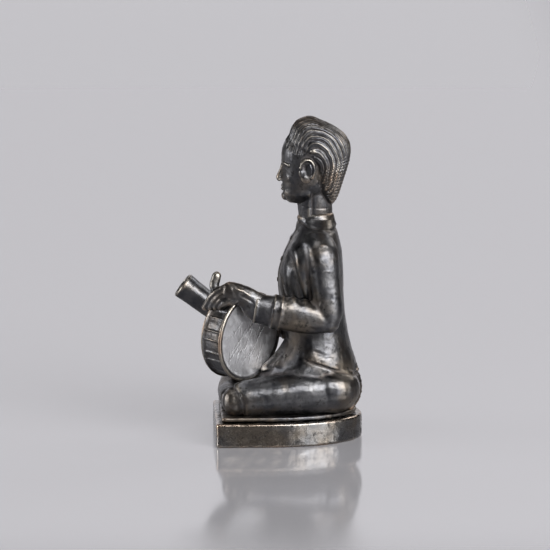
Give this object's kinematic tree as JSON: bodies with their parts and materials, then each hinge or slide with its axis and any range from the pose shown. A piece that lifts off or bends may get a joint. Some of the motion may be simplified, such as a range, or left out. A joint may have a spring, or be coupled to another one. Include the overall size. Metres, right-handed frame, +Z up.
{
  "type": "seated drummer figurine",
  "caption": "Small cast bronze figurine of a seated court musician in jacket and wrapped trousers, holding a frame drum and a goblet drum, on a D-shaped plinth.",
  "frame": {"origin": "centre of the plinth's underside", "axes": "+Z up, -Y the way the musician faces, +X towards the musician's left"},
  "size_m": [0.0399, 0.0573, 0.0998],
  "materials": {
    "figure": "dark brown-black patinated bronze, waxed, worn to copper brown on edges",
    "plinth": "dark brown-black patinated bronze, waxed, with reddish dirt by the seam"
  },
  "bodies": {
    "root": {"musician": "figure", "plinth": "plinth"}
  },
  "joints": []
}
